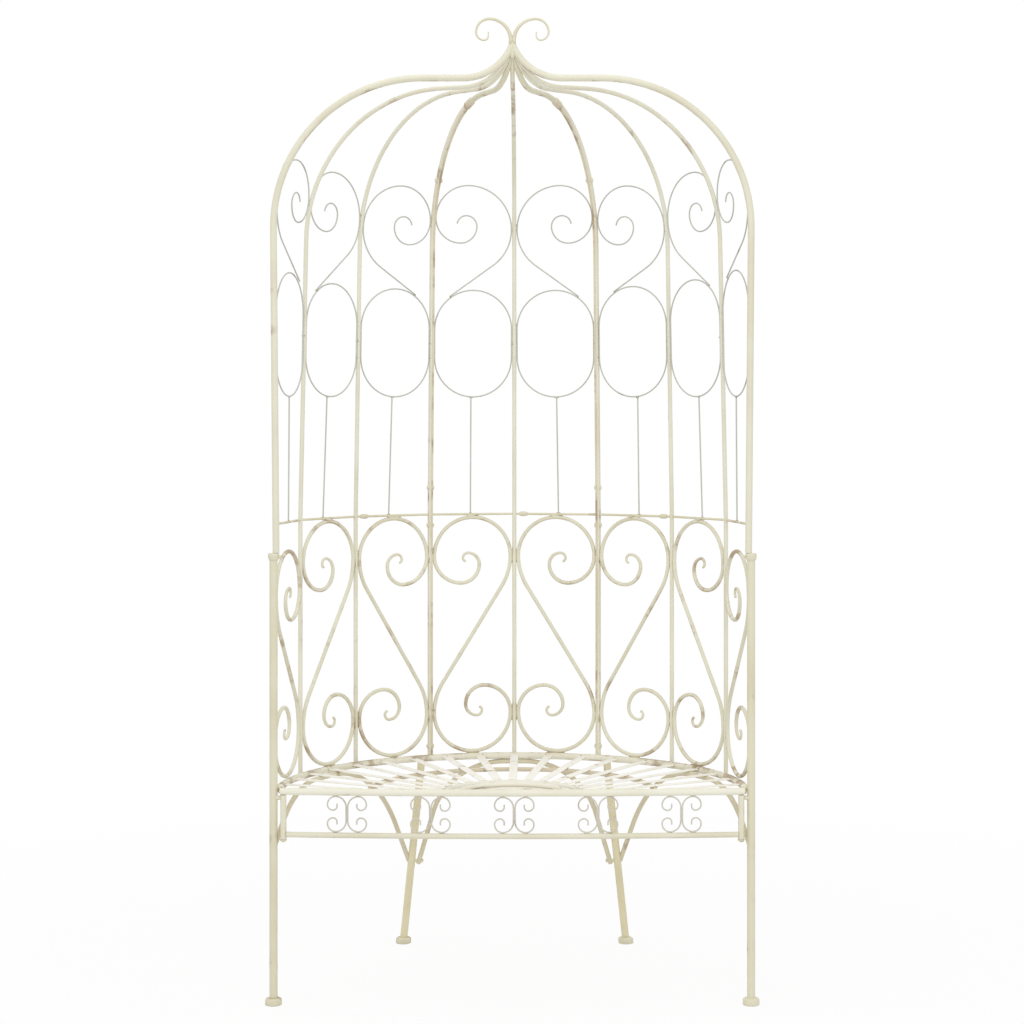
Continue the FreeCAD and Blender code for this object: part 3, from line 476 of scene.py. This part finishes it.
# Apron scrolls: pairs of C-scrolls in thin wire, welded to the front bar and the lower rail.
# Thin paint that lets the grey brown ground through, and rounded tips.
apron_wire_paint = painted_iron("apron_wire_paint", brush_round, paint=(0.66, 0.635, 0.555),
                                aged=(0.57, 0.53, 0.45), rub_level=0.60, ground=(0.32, 0.25, 0.18))
coat(apron_wire_paint, "apron_scrolls")
apron_runs = touching_runs("apron_scrolls", ("seat_front_bar", "apron_lower_rail"))
add_beads("apron_weld_beads", apron_runs, weld_paint, "scroll_paint", length=0.0045, width=0.0016)
add_tips("apron_scroll_tips", "apron_scrolls", apron_wire_paint, "scroll_paint", reach=0.8)


# Brace arches: three bent rods under the seat, from post to rear leg and between the rear legs.
# A browner cream than the posts, as painted shade under the seat. The rear one is bolted to the
# legs.
brace_paint = painted_iron("brace_paint", brush_round, paint=(0.72, 0.67, 0.50),
                           aged=(0.60, 0.52, 0.34), rub_level=0.60)
coat(brace_paint, "brace_arch_left", "brace_arch_right", "brace_arch_rear")
coat(fitting_paint, "brace_bolts")


# Ribs: five round rods, welded to the outer side of the seat ring and meeting at the crown.
# Brushed in a lighter cream than the posts.
rib_paint = painted_iron("rib_paint", brush_up, paint=(0.79, 0.77, 0.635),
                         aged=(0.69, 0.655, 0.51), rub_level=0.62)
coat(rib_paint, "rib_left_front", "rib_left_rear", "rib_back", "rib_right_rear", "rib_right_front")


# Joint ribs: two flat bars face to face where two panels meet, with thickly painted bolts.
# The back bars have a darker, browner paint as painted shade on that side of the joint. A block in
# a sleeve and a round arm carry each joint rib up to the crown.
joint_paint = painted_iron("joint_paint", brush_up, paint=(0.79, 0.765, 0.63),
                           aged=(0.68, 0.62, 0.46), rub_level=0.60, ground=(0.33, 0.22, 0.12))
# Painted shade: a darker, more rubbed copy of the joint paint for the back bars.
shaded_joint_paint = painted_iron("shaded_joint_paint", brush_up, paint=(0.73, 0.68, 0.51),
                                aged=(0.60, 0.51, 0.34), rub_level=0.52, ground=(0.31, 0.20, 0.11))
arm_paint = painted_iron("arm_paint", brush_round, paint=(0.745, 0.725, 0.57),
                         aged=(0.66, 0.61, 0.45), rub_level=0.66)
sleeve_paint = painted_iron("sleeve_paint", brush_round, paint=(0.74, 0.67, 0.53),
                            aged=(0.64, 0.54, 0.40), rub_level=0.58, ground=(0.40, 0.27, 0.17))
coat(joint_paint, "joint_bar_left_front", "joint_bar_right_front")
coat(shaded_joint_paint, "joint_bar_left_back", "joint_bar_right_back")
coat(arm_paint, "crown_arm_left", "crown_arm_right")
bench_axis = Vector((0, cage_depth, 0))
arm_end_radius = 0.2249
paint_on_bolts = 0.0014
sleeve_growth = 0.0017
sleeve_edge = 0.0016
sharp_angle = math.radians(50)


def thicken(shape, growth):
    """Moves a merged surface outwards, as a sleeve or a heavy coat of paint does."""
    shape.normal_update()
    for vertex, outward in [(vertex, vertex.normal.copy()) for vertex in shape.verts]:
        vertex.co += outward * growth


bolts = merged_copy("joint_bolts")
bmesh.ops.recalc_face_normals(bolts, faces=bolts.faces)
thicken(bolts, paint_on_bolts)
add_piece("painted_joint_bolts", bolts, fitting_paint, "fitting_paint", "joint_bolts")
sleeves = merged_copy("crown_arm_left", "crown_arm_right")
arm_points = [vertex for vertex in sleeves.verts
              if (vertex.co - bench_axis).xy.length < arm_end_radius]
bmesh.ops.delete(sleeves, geom=arm_points, context="VERTS")
thicken(sleeves, sleeve_growth)
rims = [edge for edge in sleeves.edges if edge.calc_face_angle(0) > sharp_angle]
bmesh.ops.bevel(sleeves, geom=rims, offset=sleeve_edge, segments=3, profile=0.5,
                affect="EDGES", material=-1, clamp_overlap=True)
bmesh.ops.recalc_face_normals(sleeves, faces=sleeves.faces)
add_piece("joint_block_sleeves", sleeves, sleeve_paint, "fitting_paint")


# Back rail: straight thin rods in cream from rib to rib, welded to the arches at both ends.
# Three turned ferrules cover joints in it.
rail_paint = painted_iron("rail_paint", brush_round, cream, aged_cream, rub_level=0.60)
rails = ("rail_bars_left", "rail_bars_back", "rail_bars_right")
coat(rail_paint, *rails)
ferrule_outline = ((0.0, -0.0085), (0.0034, -0.0085), (0.0041, -0.0074), (0.0047, -0.0052),
                   (0.0050, -0.0026), (0.0050, 0.0026), (0.0047, 0.0052), (0.0041, 0.0074),
                   (0.0034, 0.0085), (0.0, 0.0085))
ferrule_steps = 24
ferrule_offset = 0.0202
ferrule_ribs = ((2, 3), (4, 5), (6, 5))
rail_height = 0.948
bay_angle = math.radians(22.5)
ferrules = bmesh.new()
for pair in ferrule_ribs:
    start, end = [bench_axis + Vector((-math.cos(bay_angle * rib) * cage_radius,
                                       math.sin(bay_angle * rib) * cage_radius, rail_height))
                  for rib in pair]
    rail_line = (end - start).normalized()
    turn = rail_line.to_track_quat("Z", "Y").to_matrix().to_4x4()
    placing = Matrix.Translation(start + rail_line * ferrule_offset) @ turn
    turn_on_lathe(ferrules, ferrule_outline, ferrule_steps, placing)
add_piece("turned_rail_ferrules", ferrules, fitting_paint, "fitting_paint", "rail_ferrules")
rail_end_runs = touching_runs("rail_bars_left", ("front_arch_left",))
rail_end_runs += touching_runs("rail_bars_right", ("front_arch_right",))
add_beads("rail_end_beads", rail_end_runs, rail_paint, "fitting_paint",
          length=0.0060, width=0.0048)


# Lower scrolls: eight S-scrolls, welded to the ribs, the rail and the seat ring.
# Bent rod drawn out thinner to its rounded tips, in cream that is rubbed brown along the curls.
scroll_paint = painted_iron("scroll_paint", brush_round, paint=(0.765, 0.745, 0.595),
                            aged=(0.66, 0.61, 0.46), rub_level=0.55, ground=(0.36, 0.23, 0.12))
back_uprights = ("front_post_left", "front_post_right", "rib_left_front", "rib_left_rear",
                 "rib_back", "rib_right_rear", "rib_right_front", "joint_bar_left_front",
                 "joint_bar_left_back", "joint_bar_right_front", "joint_bar_right_back")
scroll_radius = 0.004
tip_share = 0.62
tip_stretch = 0.062


def drawn_out(name, radius, stretch_length, share):
    """A merged copy of a bent rod, thinner over the last stretch before each of its ends."""
    shape = merged_copy(name)
    shape.verts.ensure_lookup_table()
    ends = [middle for middle, outward, rim in rod_ends(name)]
    walked = {vertex.index: 0.0
              for face in shape.faces if not face.smooth for vertex in face.verts}
    queue = [(0.0, index) for index in walked]
    while queue:
        far, index = heapq.heappop(queue)
        for edge in shape.verts[index].link_edges:
            other = edge.other_vert(shape.verts[index]).index
            step = far + edge.calc_length()
            if step < walked.get(other, stretch_length):
                walked[other] = step
                heapq.heappush(queue, (step, other))
    places = {}
    for index, far in walked.items():
        vertex = shape.verts[index]
        core = vertex.co - vertex.normal * radius
        if far == 0:
            core = min(ends, key=lambda middle: (middle - vertex.co).length)
        places[index] = core.lerp(vertex.co, share + (1 - share) * far / stretch_length)
    for index, place in places.items():
        shape.verts[index].co = place
    bmesh.ops.recalc_face_normals(shape, faces=shape.faces)
    return shape


scroll_runs = []
scroll_rail_runs = []
for number in range(1, 9):
    scroll = "lower_scroll_%d" % number
    drawn = drawn_out(scroll, scroll_radius, tip_stretch, tip_share)
    add_piece("drawn_" + scroll, drawn, scroll_paint, "scroll_paint", scroll)
    add_tips(scroll + "_tips", scroll, scroll_paint, "scroll_paint", reach=0.9, share=tip_share)
    scroll_runs += touching_runs(scroll, back_uprights + ("seat_outer_ring",))
    scroll_rail_runs += touching_runs(scroll, rails)
add_beads("scroll_weld_beads", scroll_runs, weld_paint, "scroll_paint",
          length=0.0180, width=0.0023)
add_beads("scroll_rail_beads", scroll_rail_runs, scroll_paint, "scroll_paint",
          length=0.0130, width=0.0024)


# Ovals, stays and upper scrolls: thin wires that fill the upper back.
# Sparse paint over grey iron. They are welded to the ribs, the rail and each other.
wire_paint = painted_iron("wire_paint", brush_round, paint=(0.56, 0.56, 0.51),
                          aged=(0.48, 0.47, 0.42), rub_level=0.60, ground=(0.30, 0.26, 0.22))
wire_posts = back_uprights + ("front_arch_left", "front_arch_right")
wire_runs = []
for panel in ("left", "back", "right"):
    ovals, uppers, stays = "ovals_" + panel, "upper_scrolls_" + panel, "stay_wires_" + panel
    coat(wire_paint, ovals, uppers, stays)
    wire_runs += touching_runs(ovals, wire_posts)
    wire_runs += touching_runs(uppers, wire_posts + (ovals,))
    wire_runs += touching_runs(stays, (ovals, "rail_bars_" + panel))
    add_tips(uppers + "_tips", uppers, wire_paint, "wire_paint", reach=0.9)
add_beads("wire_weld_beads", wire_runs, weld_paint, "wire_paint", length=0.0050, width=0.0015)


# Crown curls: two rods that stand side by side on the crown and roll outwards.
# Cream, drawn out thin to their tips. A smooth lump of weld joins them to the ribs and arches.
curl_paint = painted_iron("curl_paint", brush_round, paint=(0.75, 0.715, 0.56),
                          aged=aged_cream, rub_level=0.58)
curl_foot = (0.0031, cage_depth, 1.8942)
curl_foot_width = 0.0080
curl_neck = 0.008
curl_bends = ((0.0425, 0.0056), (0.026, 0.0042), (0.016, 0.0034), (0.0083, 0.0028))
steps_in_bend = 14
curl_tip = 0.0080
curl_tip_share = 0.9
hub_outline = ((0.0, 1.8990), (0.0034, 1.8980), (0.0048, 1.8950), (0.0057, 1.8900),
               (0.0060, 1.8830), (0.0059, 1.8770), (0.0048, 1.8710), (0.0030, 1.8670),
               (0.0, 1.8640))
hub_steps = 32


def stretch_rod(shape, edges, middle, narrower):
    """Pulls the open end of a rod out by one ring. Returns the new ring's edges and vertices."""
    pulled = bmesh.ops.extrude_edge_only(shape, edges=edges)["geom"]
    ends = [item for item in pulled if isinstance(item, bmesh.types.BMVert)]
    rim = [item for item in pulled if isinstance(item, bmesh.types.BMEdge)
           and all(vertex in ends for vertex in item.verts)]
    bmesh.ops.scale(shape, vec=(narrower,) * 3, space=Matrix.Translation(-middle), verts=ends)
    return rim, ends


curls = bmesh.new()
for side in (-1, 1):
    middle = Vector((side * curl_foot[0], *curl_foot[1:]))
    ring = bmesh.ops.create_circle(curls, cap_ends=True, segments=20, radius=curl_foot_width / 2,
                                   matrix=Matrix.Translation(middle))["verts"]
    edges = list({edge for vertex in ring for edge in vertex.link_edges})
    width = curl_foot_width
    heading = Vector((0, 0, 1))
    edges, ends = stretch_rod(curls, edges, middle, 1.0)
    bmesh.ops.translate(curls, vec=heading * curl_neck, verts=ends)
    middle = middle + heading * curl_neck
    for bend, end_width in curl_bends:
        pivot = middle + Vector((side * heading.z, 0, -side * heading.x)) * bend
        turn = Matrix.Rotation(side * math.pi / 2 / steps_in_bend, 3, "Y")
        narrower = (end_width / width) ** (1 / steps_in_bend)
        for step in range(steps_in_bend):
            edges, ends = stretch_rod(curls, edges, middle, narrower)
            bmesh.ops.rotate(curls, cent=pivot, matrix=turn, verts=ends)
            middle = pivot + turn @ (middle - pivot)
            heading = turn @ heading
        width = end_width
    edges, ends = stretch_rod(curls, edges, middle, curl_tip_share)
    bmesh.ops.translate(curls, vec=heading * curl_tip, verts=ends)
    bmesh.ops.contextual_create(curls, geom=edges)
bmesh.ops.recalc_face_normals(curls, faces=curls.faces)
add_piece("drawn_crown_curls", curls, curl_paint, "scroll_paint", "crown_curls")
hub = bmesh.new()
turn_on_lathe(hub, hub_outline, hub_steps, Matrix.Translation(bench_axis))
add_piece("crown_weld", hub, arm_paint, "fitting_paint")


# Camera: above the seat, level with the back, and a little to the right of the bench's middle.
# A long lens, shifted down so that the whole bench fills the frame.
camera = bpy.data.objects.new("camera", bpy.data.cameras.new("camera"))
camera.location = (0.045, -5.17275, 1.183)
camera.rotation_euler = (math.radians(90), 0, 0)
camera.data.lens = 87.34
camera.data.sensor_width = 36
camera.data.shift_x = -0.0226
camera.data.shift_y = -0.1045
bpy.context.scene.collection.objects.link(camera)
bpy.context.scene.camera = camera


# Floor: a plain pale studio floor, white to the camera and still taking the bench's soft shadow.
# It isn't part of the bench.
floor_size = 30
shadow_reach = 0.7
white_reach = 2.6
white_by_bench = 0.90
floor = bpy.data.objects.new("floor", bpy.data.meshes.new("floor"))
floor_shape = bmesh.new()
bmesh.ops.create_grid(floor_shape, x_segments=1, y_segments=1, size=floor_size)
floor_shape.to_mesh(floor.data)
floor_shape.free()
floor_finish = bpy.data.materials.new("studio_floor")
floor_finish.use_nodes = True


def in_sight(tree):
    """One for light that the camera sees, straight on or in a reflection, and zero for the rest."""
    rays = add_node(tree, "ShaderNodeLightPath").outputs
    seen = combine(tree, "MAXIMUM", rays["Is Camera Ray"], rays["Is Glossy Ray"])
    return combine(tree, "MAXIMUM", seen, rays["Is Transmission Ray"])


def show(tree, share, under, over, output):
    """Sends one shader, covered by another by a share, to the output."""
    cover = add_node(tree, "ShaderNodeMixShader")
    tree.links.new(share, cover.inputs["Fac"])
    tree.links.new(under, cover.inputs[1])
    tree.links.new(over, cover.inputs[2])
    tree.links.new(cover.outputs["Shader"], tree.nodes[output].inputs["Surface"])


tree = floor_finish.node_tree
tree.nodes.remove(tree.nodes["Principled BSDF"])
matt = add_node(tree, "ShaderNodeBsdfDiffuse", None, {"Color": (0.9, 0.9, 0.9, 1)})
white = add_node(tree, "ShaderNodeEmission", None, {"Color": (1, 1, 1, 1), "Strength": 1.0})
place = add_node(tree, "ShaderNodeTexCoord")
away = add_node(tree, "ShaderNodeVectorMath", {"operation": "LENGTH"})
tree.links.new(place.outputs["Object"], away.inputs[0])
whiteness = spread(tree, away.outputs["Value"], shadow_reach, white_reach, to_low=white_by_bench)
show(tree, combine(tree, "MULTIPLY", in_sight(tree), whiteness),
     matt.outputs["BSDF"], white.outputs["Emission"], "Material Output")
floor.data.materials.append(floor_finish)
bpy.context.scene.collection.objects.link(floor)


# Studio light: a pale room all round, a wide soft panel overhead and one before the bench.
# The room shows plain white to the camera and in reflections.
lamp_target = Vector((0, 0, 0.9))
room = bpy.data.worlds.new("studio")
room.use_nodes = True
tree = room.node_tree
lit = tree.nodes["Background"]
lit.inputs["Color"].default_value = (1, 0.995, 0.985, 1)
lit.inputs["Strength"].default_value = 0.80
backdrop = add_node(tree, "ShaderNodeBackground", None,
                    {"Color": (1, 1, 1, 1), "Strength": 1.0})
show(tree, in_sight(tree), lit.outputs["Background"], backdrop.outputs["Background"],
     "World Output")
bpy.context.scene.world = room
for name, spot, size, power in (("overhead_panel", (-0.6, -0.8, 4.2), 3.0, 26),
                                ("front_panel", (0.8, -4.6, 2.4), 2.6, 34)):
    lamp = bpy.data.objects.new(name, bpy.data.lights.new(name, "AREA"))
    lamp.data.size = size
    lamp.data.energy = power
    lamp.location = spot
    lamp.rotation_euler = (lamp_target - Vector(spot)).to_track_quat("-Z", "Y").to_euler()
    bpy.context.scene.collection.objects.link(lamp)
bpy.context.scene.view_settings.view_transform = "Standard"
